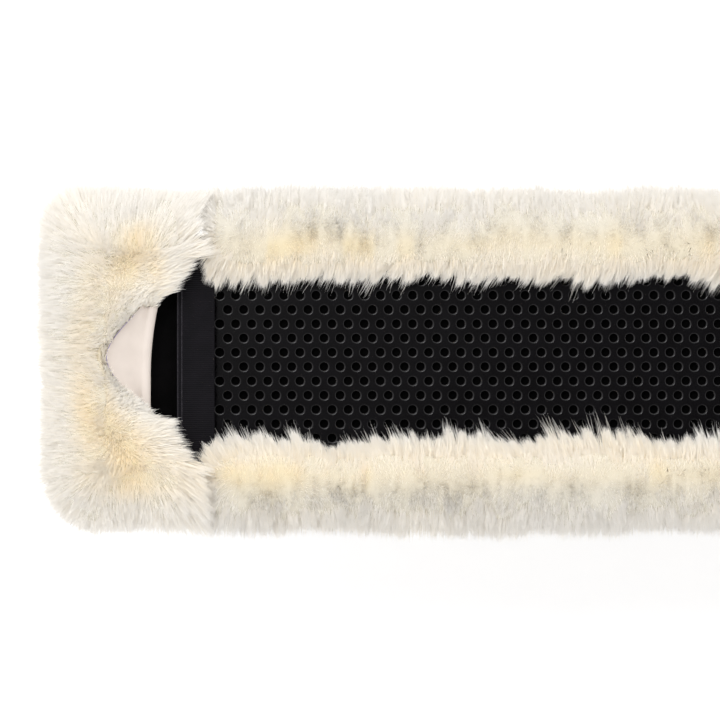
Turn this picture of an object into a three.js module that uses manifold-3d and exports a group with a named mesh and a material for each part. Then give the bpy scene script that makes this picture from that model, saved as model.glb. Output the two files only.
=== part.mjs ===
// Lambskin cover of a short saddle girth, lying with its horse side down. Millimetres, +Z up.
// The origin is at the centre of the bottom. X runs along the cover, +Y is its front edge.
//
// Layers from below: wool, hide, foam core, perforated liner. The hide turns up and over both
// long edges, where its wool forms two rolls. Each end has a pocket: a flap of lambskin turned
// over the end, with an elastic keeper band across its mouth. The cover flexes at two places.

import * as THREE from 'three';
import { mergeVertices } from 'three/addons/utils/BufferGeometryUtils.js';
import Module from 'manifold-3d';

const wasm = await Module();
wasm.setup();

// ---- driving dimensions ----
const LENGTH = 700; // over the wool at both ends
const WIDTH = 180; // over the wool at both edges
const GAP = 0.3; // between neighbours that touch
const WOOL = 21.7; // pile under the hide
const HIDE = 1.8; // lambskin leather
const FOAM = 4;
const LINER = 4;
const HIDE_HALF_WIDTH = 66; // to the folded edges of the hide
const FLANGE_EDGE = 50; // the turned-over margin of the hide ends here
const BED_HALF_WIDTH = 49.6; // outside it the turned-over hide presses the liner down
const BED_STEP = 0.3; // by this much
const ROLL_EDGE = 40; // the rolls leave a bed this wide each side of the middle
const ROLL_TOP = 52;
const ROLL_END = 260; // the rolls and the perforated liner end here
const FLEX_X = 120; // the two places where the cover flexes
const FLEX_DOWN = 40; // degrees, ends towards the horse
const FLEX_UP = 10; // degrees, ends away from the horse
const FOLD_X = 328.3; // outer face of the hide's end fold
const POCKET_ROOM = 8.6; // from the end panel up to the flap's hide
const FLAP_LIFT = 14; // degrees that the mouth opens
const HOOD_TOP = 60; // top of the pocket's wool
const END_WOOL_TOP = 58;
const MOUTH_X = 292; // flap edge at the middle of the mouth
const MOUTH_HALF_WIDTH = 28; // straight middle of the mouth, where the tab turns back
const FLAP_SIDE_X = 284; // flap edge beside the mouth
const TAB_LENGTH = 25;
const KEEPER_X = 270.5; // middle of the elastic band
const KEEPER_WIDTH = 20;
const KEEPER_HALF_LENGTH = 56;
const KEEPER_THICKNESS = 1.5;
const ANCHOR_LENGTH = 12; // sewn-down end of the band
const SIDE_BOTTOM = 8; // underside of the wool at the pocket's sides

// ---- heights worked out from the layers ----
const HIDE_Z = WOOL + GAP;
const FOAM_Z = HIDE_Z + HIDE + GAP;
const LINER_Z = FOAM_Z + FOAM + GAP;
const BED_Z = LINER_Z + LINER; // top of the liner, where the girth lies
const FLANGE_Z = BED_Z + GAP;
const FLANGE_TOP = FLANGE_Z + HIDE;
const FLAP_Z = BED_Z + POCKET_ROOM;
const FLAP_TOP = FLAP_Z + HIDE;
const PANEL_END = FOLD_X - HIDE - GAP; // the layers inside the hide end here
const ANCHOR_TOP = FLANGE_TOP + GAP + 2 * KEEPER_THICKNESS;
const KEEPER_Z = ANCHOR_TOP + GAP;
const CORE_HALF_WIDTH = HIDE_HALF_WIDTH - HIDE - GAP; // of the layers inside the hide
const FLEX_Z = WOOL + GAP / 2; // the hide doesn't stretch, so the cover bends about its level

// ---- materials ----
const material = (color, roughness) =>
  new THREE.MeshStandardMaterial({ color, roughness, metalness: 0 });
const WOOL_MATERIAL = material(0xebe2d0, 0.95);
const HIDE_MATERIAL = material(0xeae0d6, 0.85);
const FOAM_MATERIAL = material(0x8a8a86, 0.9);
const LINER_MATERIAL = material(0x171618, 0.45);
const PANEL_MATERIAL = material(0x111012, 0.8);
const ELASTIC_MATERIAL = material(0x1b191d, 0.7);

// ---- solids ----
const tan = (degrees) => Math.tan(THREE.MathUtils.degToRad(degrees));

function toSolid(geometry) {
  geometry.deleteAttribute('normal');
  geometry.deleteAttribute('uv');
  const merged = mergeVertices(geometry, 1e-4);
  return new wasm.Manifold(new wasm.Mesh({
    numProp: 3,
    vertProperties: new Float32Array(merged.attributes.position.array),
    triVerts: new Uint32Array(merged.index.array),
  }));
}

function toGeometry(solid) {
  const mesh = solid.getMesh();
  const geometry = new THREE.BufferGeometry();
  geometry.setAttribute('position', new THREE.BufferAttribute(mesh.vertProperties, 3));
  geometry.setIndex(new THREE.BufferAttribute(mesh.triVerts, 1));
  geometry.computeVertexNormals();
  return geometry;
}

function outline(points) {
  return new THREE.Shape(points.map(([u, v]) => new THREE.Vector2(u, v)));
}

function extrude(shape, depth) {
  return new THREE.ExtrudeGeometry(shape, { depth, bevelEnabled: false, curveSegments: 6 });
}

const X = new THREE.Vector3(1, 0, 0);
const Y = new THREE.Vector3(0, 1, 0);
const Z = new THREE.Vector3(0, 0, 1);

// A Y-Z profile run along X from x0 to x1.
function alongX(shape, x0, x1) {
  const place = new THREE.Matrix4().makeBasis(Y, Z, X).setPosition(x0, 0, 0);
  return toSolid(extrude(shape, x1 - x0).applyMatrix4(place));
}

// An X-Z profile run along Y from y0 to y1.
function alongY(shape, y0, y1) {
  const place = new THREE.Matrix4().makeBasis(X, Z, Y.clone().negate()).setPosition(0, y1, 0);
  return toSolid(extrude(shape, y1 - y0).applyMatrix4(place));
}

// A plan outline run up from z0 to z1.
function alongZ(shape, z0, z1) {
  return toSolid(extrude(shape, z1 - z0).translate(0, 0, z0));
}

function slab(halfWidth, z0, z1) {
  return mirrored([[halfWidth, z0], [halfWidth, z1]]);
}

// Points with y above 0, and their mirror images, as one closed outline.
function mirrored(right) {
  const left = right.map(([y, z]) => [-y, z]).reverse();
  return outline([...right, ...left]);
}

// ---- profiles across the cover ----

// The hide: flat under the core, up both sides and back over the liner's margins.
function hideProfile() {
  const inner = HIDE_HALF_WIDTH - HIDE;
  return mirrored([
    [HIDE_HALF_WIDTH, HIDE_Z],
    [HIDE_HALF_WIDTH, FLANGE_TOP],
    [FLANGE_EDGE, FLANGE_TOP],
    [FLANGE_EDGE, FLANGE_Z],
    [inner, FLANGE_Z],
    [inner, HIDE_Z + HIDE],
  ]);
}

// The liner and the end panels: flat, with both margins pressed down under the hide.
function bedProfile() {
  return mirrored([
    [CORE_HALF_WIDTH, LINER_Z],
    [CORE_HALF_WIDTH, BED_Z - BED_STEP],
    [BED_HALF_WIDTH, BED_Z - BED_STEP],
    [BED_HALF_WIDTH, BED_Z],
  ]);
}

// One roll: wool that stands out from the folded edge and lies inwards over its margin.
function rollProfile(side) {
  const outer = WIDTH / 2;
  const inner = HIDE_HALF_WIDTH + GAP;
  const under = FLANGE_TOP + GAP;
  const radius = 20;
  const shape = new THREE.Shape();
  const at = (y, z) => [side * y, z];
  shape.moveTo(...at(inner, 0));
  shape.lineTo(...at(outer - 14, 0));
  shape.quadraticCurveTo(...at(outer, 0), ...at(outer, radius));
  shape.lineTo(...at(outer, ROLL_TOP - radius));
  shape.quadraticCurveTo(...at(outer, ROLL_TOP), ...at(outer - radius, ROLL_TOP));
  shape.lineTo(...at(ROLL_EDGE + 12, ROLL_TOP));
  shape.quadraticCurveTo(...at(ROLL_EDGE, ROLL_TOP), ...at(ROLL_EDGE, under + 3));
  shape.lineTo(...at(ROLL_EDGE + 2, under));
  shape.lineTo(...at(inner, under));
  return shape;
}

// ---- the long layers, split where the cover flexes ----

// The side view of one section. Its ends lean back from each flex axis, above it and below it,
// so that neighbouring sections just close up at the ends of the joint's range.
function sectionClip(section) {
  const past = LENGTH;
  const up = HOOD_TOP + 1;
  const above = (z) => (z - FLEX_Z) * tan(FLEX_UP / 2);
  const below = (z) => (FLEX_Z - z) * tan(FLEX_DOWN / 2);
  const lean = (z) => GAP + Math.max(above(z), below(z));
  const face = (side, sign) => [0, FLEX_Z, up].map((z) => [side * (FLEX_X + sign * lean(z)), z]);
  const shapes = {
    left: [...face(-1, 1), [-past, up], [-past, 0]],
    centre: [...face(-1, -1), ...face(1, -1).reverse()],
    right: [...face(1, 1), [past, up], [past, 0]],
  };
  return alongY(outline(shapes[section]), -WIDTH, WIDTH);
}

function longLayers() {
  return [
    ['wool_base', WOOL_MATERIAL,
      alongX(slab(HIDE_HALF_WIDTH, 0, WOOL), -FOLD_X, FOLD_X)],
    ['hide', HIDE_MATERIAL, alongX(hideProfile(), -PANEL_END, PANEL_END)],
    ['foam_core', FOAM_MATERIAL,
      alongX(slab(CORE_HALF_WIDTH, FOAM_Z, FOAM_Z + FOAM), -PANEL_END, PANEL_END)],
    ['liner', LINER_MATERIAL, alongX(bedProfile(), -ROLL_END, ROLL_END)],
    ['wool_roll_front', WOOL_MATERIAL, alongX(rollProfile(1), -ROLL_END, ROLL_END)],
    ['wool_roll_rear', WOOL_MATERIAL, alongX(rollProfile(-1), -ROLL_END, ROLL_END)],
  ];
}

// ---- the ends ----
// Each shape is written with s, which is -1 at the left end and 1 at the right end.

// Plain panel that carries on from the perforated liner under the keeper and into the pocket.
function endPanel(s) {
  const [x0, x1] = [s * (ROLL_END + GAP), s * PANEL_END].sort((a, b) => a - b);
  return alongX(bedProfile(), x0, x1);
}

// The hide's end fold, which closes the pocket at its end.
function endFold(s) {
  const profile = outline([
    [s * FOLD_X, HIDE_Z], [s * (FOLD_X - HIDE), HIDE_Z],
    [s * (FOLD_X - HIDE), FLAP_Z - GAP], [s * FOLD_X, FLAP_Z - GAP],
  ]);
  return alongY(profile, -HIDE_HALF_WIDTH, HIDE_HALF_WIDTH);
}

// Wool around the end fold, rounded in side view and at both corners in plan.
function endWool(s) {
  const end = LENGTH / 2;
  const start = FOLD_X + GAP;
  const side = new THREE.Shape();
  side.moveTo(s * start, 0);
  side.lineTo(s * (end - 8), 0);
  side.quadraticCurveTo(s * end, 0, s * end, 18);
  side.lineTo(s * end, END_WOOL_TOP - 18);
  side.quadraticCurveTo(s * end, END_WOOL_TOP, s * start, END_WOOL_TOP);
  const edge = WIDTH / 2;
  const corner = 16;
  const plan = new THREE.Shape();
  plan.moveTo(s * start, -edge);
  plan.lineTo(s * (end - corner), -edge);
  plan.quadraticCurveTo(s * end, -edge, s * end, corner - edge);
  plan.lineTo(s * end, edge - corner);
  plan.quadraticCurveTo(s * end, edge, s * (end - corner), edge);
  plan.lineTo(s * start, edge);
  return alongY(side, -WIDTH / 2, WIDTH / 2).intersect(alongZ(plan, 0, END_WOOL_TOP));
}

// Plan of the flap: the mouth is cut back in the middle, where the tab turns over.
function flapPlan(s, halfWidth) {
  const half = [
    [MOUTH_X, MOUTH_HALF_WIDTH], [FLAP_SIDE_X, MOUTH_HALF_WIDTH + 14], [FLAP_SIDE_X, halfWidth],
    [PANEL_END, halfWidth],
  ];
  const front = half.map(([x, y]) => [s * x, y]);
  const rear = half.map(([x, y]) => [s * x, -y]).reverse();
  return outline([...front, ...rear]);
}

// Everything on the flap is cut back at the fold, so that it clears the end wool as it lifts.
function flapClip(s) {
  const high = HOOD_TOP + 1;
  const mouth = ROLL_END + 1;
  const lean = tan(FLAP_LIFT);
  return alongY(outline([
    [s * PANEL_END, 0], [s * PANEL_END, FLAP_Z], [s * (PANEL_END - (high - FLAP_Z) * lean), high],
    [s * mouth, high], [s * mouth, FLAP_Z], [s * (mouth + FLAP_Z * lean), 0],
  ]), -WIDTH, WIDTH);
}

// Plan of the pointed tab, its tip towards the end of the cover.
function tabPlan(s, spread) {
  const shape = new THREE.Shape();
  const half = MOUTH_HALF_WIDTH - 0.5 + spread;
  const tip = MOUTH_X + TAB_LENGTH + spread;
  shape.moveTo(s * (MOUTH_X - HIDE - spread), -half);
  shape.lineTo(s * (MOUTH_X - HIDE - spread), half);
  shape.lineTo(s * (MOUTH_X + 6), half - 4);
  shape.lineTo(s * (tip - 5), 5);
  shape.quadraticCurveTo(s * tip, 0, s * (tip - 5), -5);
  shape.lineTo(s * (MOUTH_X + 6), -half + 4);
  return shape;
}

const TAB_Z = FLAP_TOP + GAP + 8;

// The tab: up from the flap's edge and back over the wool.
function mouthTab(s) {
  const outer = MOUTH_X - HIDE;
  const inner = MOUTH_X - GAP;
  const top = TAB_Z + HIDE;
  const lip = outline([[s * outer, FLAP_Z], [s * inner, FLAP_Z], [s * inner, top], [s * outer, top]]);
  const upright = alongY(lip, -MOUTH_HALF_WIDTH + 1, MOUTH_HALF_WIDTH - 1);
  return upright.add(alongZ(tabPlan(s, 0), TAB_Z, TAB_Z + HIDE));
}

function flapWool(s) {
  const body = alongZ(flapPlan(s, HIDE_HALF_WIDTH), FLAP_TOP + GAP, HOOD_TOP);
  const bed = alongZ(tabPlan(s, GAP), TAB_Z - GAP, HOOD_TOP + 1);
  return body.subtract(bed).intersect(flapClip(s));
}

// Wool down one side of the pocket.
function sideWool(s, edge) {
  const inner = edge * (HIDE_HALF_WIDTH + GAP);
  const outer = edge * WIDTH / 2;
  const shape = new THREE.Shape();
  shape.moveTo(inner, SIDE_BOTTOM);
  shape.lineTo(outer - edge * 12, SIDE_BOTTOM);
  shape.quadraticCurveTo(outer, SIDE_BOTTOM, outer, SIDE_BOTTOM + 16);
  shape.lineTo(outer, HOOD_TOP - 20);
  shape.quadraticCurveTo(outer, HOOD_TOP, outer - edge * 18, HOOD_TOP);
  shape.lineTo(inner, HOOD_TOP);
  const [x0, x1] = s < 0 ? [-FOLD_X, -ROLL_END] : [ROLL_END, FOLD_X];
  return alongX(shape, x0, x1).intersect(flapClip(s));
}

function keeperPlan(s, y0, y1) {
  const near = s * (KEEPER_X - KEEPER_WIDTH / 2);
  const far = s * (KEEPER_X + KEEPER_WIDTH / 2);
  return outline([[near, y0], [far, y0], [far, y1], [near, y1]]);
}

function keeperBand(s) {
  const plan = keeperPlan(s, -KEEPER_HALF_LENGTH, KEEPER_HALF_LENGTH);
  return alongZ(plan, KEEPER_Z, KEEPER_Z + KEEPER_THICKNESS);
}

function keeperAnchor(s, edge) {
  const ends = [edge * (KEEPER_HALF_LENGTH + 4), edge * (KEEPER_HALF_LENGTH + 4 - ANCHOR_LENGTH)];
  const plan = keeperPlan(s, Math.min(...ends), Math.max(...ends));
  return alongZ(plan, FLANGE_TOP + GAP, ANCHOR_TOP);
}

function endParts(s, end) {
  return [
    [`end_panel_${end}`, PANEL_MATERIAL, endPanel(s)],
    [`end_fold_${end}`, HIDE_MATERIAL, endFold(s)],
    [`wool_end_${end}`, WOOL_MATERIAL, endWool(s)],
    [`pocket_hide_${end}`, HIDE_MATERIAL, alongZ(flapPlan(s, HIDE_HALF_WIDTH), FLAP_Z, FLAP_TOP)],
    [`pocket_wool_${end}`, WOOL_MATERIAL, flapWool(s)],
    [`pocket_side_front_${end}`, WOOL_MATERIAL, sideWool(s, 1)],
    [`pocket_side_rear_${end}`, WOOL_MATERIAL, sideWool(s, -1)],
    [`mouth_tab_${end}`, HIDE_MATERIAL, mouthTab(s)],
    [`keeper_band_${end}`, ELASTIC_MATERIAL, keeperBand(s)],
    [`keeper_anchor_front_${end}`, ELASTIC_MATERIAL, keeperAnchor(s, 1)],
    [`keeper_anchor_rear_${end}`, ELASTIC_MATERIAL, keeperAnchor(s, -1)],
  ];
}

// ---- assembly ----
const cover = new THREE.Group();

function addMesh(name, meshMaterial, solid) {
  const mesh = new THREE.Mesh(toGeometry(solid), meshMaterial);
  mesh.name = name;
  cover.add(mesh);
}

for (const section of ['left', 'centre', 'right']) {
  const clip = sectionClip(section);
  for (const [name, layerMaterial, whole] of longLayers()) {
    addMesh(`${name}_${section}`, layerMaterial, whole.intersect(clip));
  }
}

for (const [s, end] of [[-1, 'left'], [1, 'right']]) {
  for (const part of endParts(s, end)) addMesh(...part);
}

export default cover;
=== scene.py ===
"""Looks of the lambskin girth cover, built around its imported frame.

Lengths are in millimetres and become metres where a mesh is made. The cover lies along X with its
wool side down. Wool is made of tapered blades that grow from the hide in locks, over a closed body
of denser wool. Functions with an argument s build one end: s is -1 at the left end, 1 at the right.
"""

import math

import bpy
import numpy as np
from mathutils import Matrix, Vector


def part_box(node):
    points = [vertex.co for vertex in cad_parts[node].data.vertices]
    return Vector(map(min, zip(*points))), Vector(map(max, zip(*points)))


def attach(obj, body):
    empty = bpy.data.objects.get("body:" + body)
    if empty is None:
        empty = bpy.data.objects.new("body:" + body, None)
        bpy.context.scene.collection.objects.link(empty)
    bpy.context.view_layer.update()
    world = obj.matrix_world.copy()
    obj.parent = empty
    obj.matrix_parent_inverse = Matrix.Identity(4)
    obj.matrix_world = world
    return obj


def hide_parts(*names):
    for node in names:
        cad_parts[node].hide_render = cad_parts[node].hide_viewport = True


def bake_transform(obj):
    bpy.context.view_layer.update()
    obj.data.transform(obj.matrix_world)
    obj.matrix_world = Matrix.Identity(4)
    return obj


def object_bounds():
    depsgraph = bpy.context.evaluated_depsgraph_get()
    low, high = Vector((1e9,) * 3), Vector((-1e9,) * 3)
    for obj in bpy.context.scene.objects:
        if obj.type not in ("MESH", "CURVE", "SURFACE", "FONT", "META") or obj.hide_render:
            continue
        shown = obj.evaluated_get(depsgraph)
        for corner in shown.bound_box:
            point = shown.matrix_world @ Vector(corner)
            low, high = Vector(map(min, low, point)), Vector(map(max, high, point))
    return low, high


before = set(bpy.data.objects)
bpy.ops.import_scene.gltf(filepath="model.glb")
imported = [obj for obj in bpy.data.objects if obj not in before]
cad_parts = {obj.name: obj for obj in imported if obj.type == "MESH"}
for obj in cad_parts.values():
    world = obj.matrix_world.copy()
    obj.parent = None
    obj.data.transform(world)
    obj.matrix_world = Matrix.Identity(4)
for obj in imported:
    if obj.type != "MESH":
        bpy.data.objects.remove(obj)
cad_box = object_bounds()
MM = 0.001
ENDS = ((-1, "left"), (1, "right"))
SIDES = ((1, "front"), (-1, "rear"))


def low(node):
    return np.array(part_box(node)[0]) / MM


def high(node):
    return np.array(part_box(node)[1]) / MM


# ---- places, taken from the frame where it has them ----
END_X = cad_box[1][0] / MM
ROLL_END = high("liner_right")[0]
BED_Z = high("liner_centre")[2]
LINER_Z = low("liner_centre")[2]
FOAM_Z = low("foam_core_centre")[2]
CORE_Y = high("foam_core_centre")[1]
HIDE_Z = low("hide_centre")[2]
HIDE_TOP = high("hide_centre")[2]
HIDE_Y = high("hide_centre")[1]
PANEL_END = high("foam_core_right")[0]
FOLD_X = high("end_fold_right")[0]
FLAP_TOP = high("pocket_hide_right")[2]
HIDE_THICK = 1.8
FLANGE_Y = 50  # inner edge of the turned-over hide
FOLD_R = (HIDE_TOP - HIDE_Z) / 2  # of the hide's turn at the long edges
MARGIN = HIDE_Y - FOLD_R - FLANGE_Y  # flat part of the turned-over hide
HOOD_R = (FLAP_TOP - HIDE_Z) / 2  # of the hide's turn at the pocket's edges
HOOD_Y = HIDE_Y - HOOD_R
HOOD_X = FOLD_X - HOOD_R
MOUTH_X = low("mouth_tab_right")[0] + HIDE_THICK
MOUTH_HALF = 28
TAB_TIP = MOUTH_X + 25

# ---- repeatable noise ----


def hashed(i, j, seed):
    """A value from 0 to 1 for each pair of whole numbers."""
    h = i.astype(np.int64) * 374761393 + j.astype(np.int64) * 668265263 + seed * 974711
    h = (h & 0xFFFFFFFF).astype(np.uint64)
    h = ((h ^ (h >> np.uint64(13))) * np.uint64(1274126177)) & np.uint64(0xFFFFFFFF)
    return ((h ^ (h >> np.uint64(16))) & np.uint64(0xFFFF)).astype(float) / 0xFFFF


def noise(x, y, size, seed):
    """Smooth noise from -1 to 1 whose features are about size apart."""
    x, y = np.broadcast_arrays(np.asarray(x, float) / size, np.asarray(y, float) / size)
    i, j = np.floor(x), np.floor(y)
    u, v = x - i, y - j
    u, v = u * u * (3 - 2 * u), v * v * (3 - 2 * v)
    low_row = hashed(i, j, seed) * (1 - u) + hashed(i + 1, j, seed) * u
    high_row = hashed(i, j + 1, seed) * (1 - u) + hashed(i + 1, j + 1, seed) * u
    return 2 * (low_row * (1 - v) + high_row * v) - 1


def nearest_tuft(x, y, size, seed):
    """The centre of the tuft that each point belongs to: the nearest point of a jittered grid."""
    i, j = np.floor(x / size), np.floor(y / size)
    best = np.full(x.shape, np.inf)
    centre = [x.copy(), y.copy()]
    for di in (-1, 0, 1):
        for dj in (-1, 0, 1):
            cx = (i + di + 0.15 + 0.7 * hashed(i + di, j + dj, seed)) * size
            cy = (j + dj + 0.15 + 0.7 * hashed(i + di, j + dj, seed + 1)) * size
            distance = (cx - x) ** 2 + (cy - y) ** 2
            nearer = distance < best
            best = np.where(nearer, distance, best)
            centre = [np.where(nearer, cx, centre[0]), np.where(nearer, cy, centre[1])]
    return centre


def smooth(t):
    t = np.clip(t, 0, 1)
    return t * t * (3 - 2 * t)


def unit(v):
    return v / np.maximum(np.linalg.norm(v, axis=-1, keepdims=True), 1e-9)


def points(x, y, z):
    return np.stack(np.broadcast_arrays(x, y, z), axis=-1).astype(float)


# ---- meshes ----


def make_object(name, vertices, faces, material, uv=None, normals=None, smooth_faces=True):
    """A mesh object from arrays in millimetres. faces has 3 or 4 columns, and uv is per vertex."""
    corners = faces.shape[1]
    mesh = bpy.data.meshes.new(name)
    mesh.vertices.add(len(vertices))
    mesh.vertices.foreach_set("co", (vertices * MM).astype(np.float32).ravel())
    mesh.loops.add(faces.size)
    mesh.loops.foreach_set("vertex_index", faces.astype(np.int32).ravel())
    mesh.polygons.add(len(faces))
    mesh.polygons.foreach_set("loop_start", np.arange(0, faces.size, corners, dtype=np.int32))
    mesh.polygons.foreach_set("use_smooth", np.full(len(faces), smooth_faces))
    if uv is not None:
        layer = mesh.uv_layers.new(name="OFBake")
        layer.data.foreach_set("uv", uv[faces.ravel()].astype(np.float32).ravel())
    mesh.update(calc_edges=True)
    mesh.validate()
    if normals is not None:
        mesh.normals_split_custom_set_from_vertices(normals.tolist())
    mesh.materials.append(material)
    obj = bpy.data.objects.new(name, mesh)
    bpy.context.scene.collection.objects.link(obj)
    return obj


def shell_arrays(inner, outer):
    """A closed skin between two grids of points, both rows by columns by 3, outer on the outside."""
    rows, columns = inner.shape[:2]
    index = np.arange(rows * columns).reshape(rows, columns)

    def quads(a, b, c, d):
        return np.stack([a, b, c, d], axis=-1).reshape(-1, 4)

    top = index + rows * columns
    faces = [
        quads(top[:-1, :-1], top[1:, :-1], top[1:, 1:], top[:-1, 1:]),
        quads(index[:-1, :-1], index[:-1, 1:], index[1:, 1:], index[1:, :-1]),
        quads(index[:-1, 0], index[1:, 0], top[1:, 0], top[:-1, 0]),
        quads(index[:-1, -1], top[:-1, -1], top[1:, -1], index[1:, -1]),
        quads(index[0, :-1], top[0, :-1], top[0, 1:], index[0, 1:]),
        quads(index[-1, :-1], index[-1, 1:], top[-1, 1:], top[-1, :-1]),
    ]
    vertices = np.concatenate([inner.reshape(-1, 3), outer.reshape(-1, 3)])
    return outward(vertices, np.concatenate(faces))


def outward(vertices, faces):
    """The same closed skin with its faces pointing out, whichever way the grid ran."""
    a, b, c, d = (vertices[faces[:, k]] for k in range(4))
    volume = np.einsum("ij,ij->", a + b + c + d, np.cross(c - a, d - b))
    return vertices, faces if volume > 0 else faces[:, ::-1]


def shell_object(name, inner, outer, material, uv=None):
    vertices, faces = shell_arrays(inner, outer)
    if uv is not None:
        uv = np.concatenate([uv.reshape(-1, 2)] * 2)
    return make_object(name, vertices, faces, material, uv=uv)


# ---- wool ----
LONG_BLADE = np.array([0.0, 0.42, 0.76, 1.0])  # where a blade has its joints, from root to tip
SHORT_BLADE = np.array([0.0, 0.6, 1.0])
# Heights in the wool map: of the blades' tips, of the dense wool below them, and between the two.
TIP, DENSE, BETWEEN = 0.9, 1.0, 0.95


def wool_body(surface, a, b, height, lump_seed):
    """A closed body of dense wool over a stretch of hide: vertices, faces, uv and no normals of its own.

    height is how far up the blades it reaches, from 0 at their roots to 1 at their tips.
    """
    grid = (len(a), len(b), 3)
    aa, bb = (values.ravel() for values in np.meshgrid(a, b, indexing="ij"))
    root, normal, tip, rise, tone = surface(aa, bb)
    lumps = 1 + 0.07 * noise(aa, bb, 7, lump_seed) + 0.09 * noise(aa, bb, 2.6, 9)
    t = (height(aa, bb) * lumps)[:, None]
    control = root + unit(normal + [0, 0, 0.4]) * rise[:, None]
    inner = root + 0.2 * normal
    outer = root * (1 - t) ** 2 + 2 * control * t * (1 - t) + tip * t**2
    vertices, faces = shell_arrays(inner.reshape(grid), outer.reshape(grid))
    uv = np.stack([tone, np.full(len(tone), DENSE)], axis=-1)
    return vertices, faces, np.concatenate([uv, uv]), None


def blades(
    rng,
    surface,
    area,
    locks,
    per_lock,
    spread,
    pull,
    tuft,
    tuft_pull,
    width,
    steps=LONG_BLADE,
    keep=None,
    reach=(0.86, 1.04),
):
    """Tapered blades of wool over a stretch of hide, gathered into locks and those into tufts.

    surface gives each place's root, normal, natural tip, rise and tone. pull is how far the blades
    of a lock come together at their tips, and tuft_pull the same for the locks of a tuft. reach is
    the range of lengths against the natural one.
    """
    (a0, a1), (b0, b1) = area
    la, lb = rng.uniform(a0, a1, locks), rng.uniform(b0, b1, locks)
    lock_tip = surface(la, lb)[2]
    ta, tb = nearest_tuft(la, lb, tuft, 77)
    tuft_tip = surface(np.clip(ta, a0, a1), np.clip(tb, b0, b1))[2]
    lock_tip = lock_tip + (tuft_tip - lock_tip) * tuft_pull
    a = (la[:, None] + rng.normal(0, spread, (locks, per_lock))).ravel()
    b = (lb[:, None] + rng.normal(0, spread, (locks, per_lock))).ravel()
    lock = np.repeat(np.arange(locks), per_lock)
    inside = (a >= a0) & (a <= a1) & (b >= b0) & (b <= b1)
    if keep is not None:
        inside &= keep(a, b)
    a, b, lock = a[inside], b[inside], lock[inside]
    count = len(a)
    root, normal, tip, rise, tone = surface(a, b)
    stray = rng.random(count) < 0.12
    gather = np.where(stray, 0.1, pull * rng.uniform(0.7, 1.15, count))[:, None]
    tip = tip + (lock_tip[lock] - tip) * gather
    tip += rng.normal(0, 0.9, (count, 3)) + normal * rng.normal(0, 0.8, (count, 1))
    tip = root + (tip - root) * rng.uniform(*reach, count)[:, None]
    tip[:, 2] = np.maximum(tip[:, 2], 0.6 + 1.2 * rng.random(count))
    control = root + unit(normal + [0, 0, 0.4]) * (rise * rng.uniform(0.8, 1.15, count))[:, None]
    control += rng.normal(0, 1.1, (count, 3))
    tone = np.clip(tone + rng.normal(0, 0.07, count) + 0.1 * (rng.random(locks)[lock] - 0.5), 0.02, 0.98)

    t = steps[:, None, None]
    spine = root * (1 - t) ** 2 + 2 * control * t * (1 - t) + tip * t**2
    along = unit(2 * (1 - t) * (control - root) + 2 * t * (tip - control))
    open_side = unit(normal + np.where(normal[:, 2:] < -0.5, 0, [[0, 0, 1.2]]))
    facing = np.empty_like(along)
    turned = open_side + rng.normal(0, 0.25, (count, 3))
    for joint in range(len(steps) - 1, -1, -1):
        turned = unit(turned - along[joint] * np.sum(turned * along[joint], axis=-1, keepdims=True))
        facing[joint] = turned
    facing *= np.where(np.sum(facing[-1] * open_side, axis=-1) < 0, -1, 1)[:, None]
    across = np.cross(along, facing)
    taper = np.sqrt(1 - steps**3)[:, None, None]
    half = 0.5 * width * rng.uniform(0.7, 1.3, (count, 1)) * taper
    left, right = spine - across * half, spine + across * half
    shade = unit(facing * 0.25 + open_side)

    n = len(steps) - 1
    vertices = np.stack([*left[:n], *right[:n], spine[n]], axis=1)
    shades = np.stack([*shade[:n], *shade[:n], shade[n]], axis=1)
    pattern = [[k, n + k, n + k + 1] for k in range(n - 1)]
    pattern += [[k, n + k + 1, k + 1] for k in range(n - 1)]
    pattern += [[n - 1, 2 * n - 1, 2 * n]]
    faces = (np.array(pattern)[None] + (2 * n + 1) * np.arange(count)[:, None, None]).reshape(-1, 3)
    u = np.stack([tone - 0.012] * n + [tone + 0.012] * n + [tone], axis=1)
    v = TIP * np.tile(np.array([*steps[:n], *steps[:n], 1.0]), (count, 1))
    uv = np.stack([u, v], axis=-1).reshape(-1, 2)
    return vertices.reshape(-1, 3), faces, uv, shades.reshape(-1, 3)


def as_triangles(faces):
    if faces.shape[1] == 3:
        return faces
    return np.concatenate([faces[:, [0, 1, 2]], faces[:, [0, 2, 3]]])


def vertex_normals(vertices, faces):
    normals = np.zeros_like(vertices)
    a, b, c = (vertices[faces[:, k]] for k in range(3))
    face_normals = np.cross(b - a, c - a)
    for k in range(3):
        np.add.at(normals, faces[:, k], face_normals)
    return unit(normals)


def wool_object(name, parts):
    """One wool piece from several bodies and stretches of blades."""
    vertices, faces, uvs, normals = [], [], [], []
    start = 0
    for part_vertices, part_faces, uv, shade in parts:
        triangles = as_triangles(part_faces)
        vertices.append(part_vertices)
        faces.append(triangles + start)
        uvs.append(uv)
        normals.append(vertex_normals(part_vertices, triangles) if shade is None else shade)
        start += len(part_vertices)
    obj = make_object(
        name,
        np.concatenate(vertices),
        np.concatenate(faces),
        WOOL,
        uv=np.concatenate(uvs),
        normals=np.concatenate(normals),
    )
    return obj


# ---- materials ----


def new_material(name, roughness, sheen=0.0, sheen_roughness=0.5, specular=0.5):
    material = bpy.data.materials.new(name)
    material.use_nodes = True
    nodes = material.node_tree.nodes
    shader = nodes["Principled BSDF"]
    shader.inputs["Roughness"].default_value = roughness
    shader.inputs["Sheen Weight"].default_value = sheen
    shader.inputs["Sheen Roughness"].default_value = sheen_roughness
    shader.inputs["Specular IOR Level"].default_value = specular
    return material, material.node_tree, shader


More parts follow.
